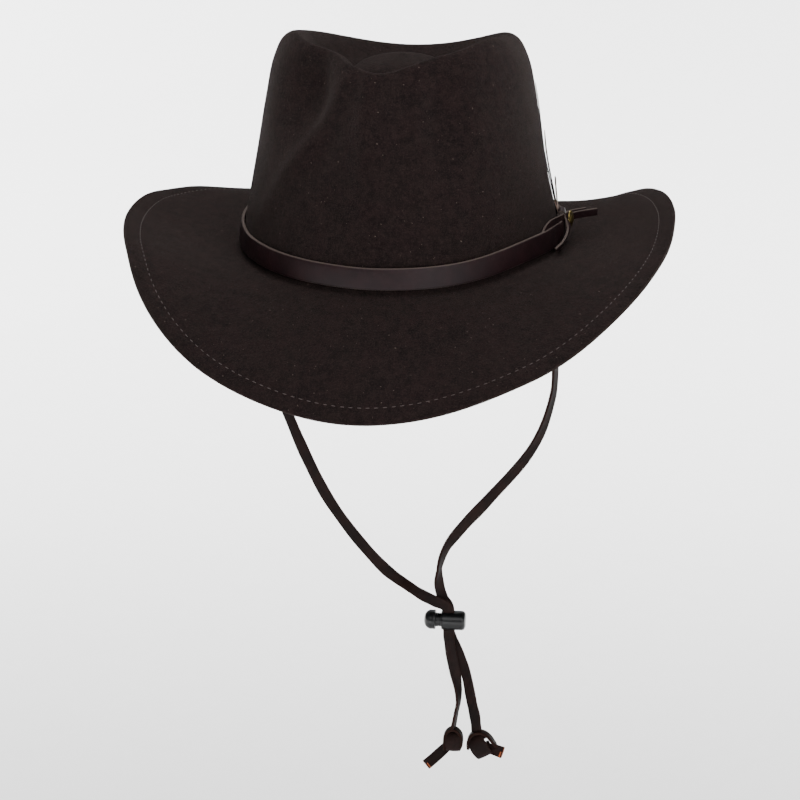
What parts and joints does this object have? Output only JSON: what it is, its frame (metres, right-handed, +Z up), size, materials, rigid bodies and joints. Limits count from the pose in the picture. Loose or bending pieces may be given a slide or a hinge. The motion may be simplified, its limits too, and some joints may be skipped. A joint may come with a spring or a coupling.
{
  "type": "bush hat",
  "caption": "Brown felt bush hat: pinched crown, curved brim, leather band knotted at one side with a stud and feathers, and a leather chin strap with a spring toggle.",
  "frame": {"origin": "middle of the head opening, at the height where the crown meets the brim", "axes": "+Z up the crown, -Y ahead of the wearer, +X to the wearer's left"},
  "size_m": [0.2908, 0.3316, 0.4237],
  "materials": {
    "felt": "brushed wool felt, matt",
    "band_leather": "smooth, low sheen, raw pale edges",
    "lace_leather": "thin lace leather, tan where cut",
    "sweatband_leather": "plain thin leather",
    "brass": "aged brass, worn bright at the rim",
    "toggle_plastic": "moulded black plastic, satin",
    "feather_dark": "dark feather with a pale tip",
    "feather_barred": "tan barred feather",
    "feather_cream": "short cream feather"
  },
  "bodies": {
    "hat": {"felt_body": "felt", "hatband": "band_leather", "band_keeper": "band_leather", "band_tail_front": "band_leather", "band_tail_back": "band_leather", "stud": "brass", "feather_long": "feather_dark", "feather_barred": "feather_barred", "feather_cream": "feather_cream", "sweatband": "sweatband_leather", "chin_strap_back": "lace_leather", "chin_strap_left": "lace_leather", "chin_strap_right": "lace_leather", "knot_left": "lace_leather", "knot_right": "lace_leather", "toggle_barrel": "toggle_plastic"},
    "plunger": {"toggle_plunger": "toggle_plastic"}
  },
  "joints": [
    {"name": "toggle_press", "type": "slide", "parent": "hat", "child": "plunger", "axis": [1, 0, 0], "range_m": [0, 0.003], "stiffness_N_per_m": 400, "springref_m": -0.006}
  ]
}
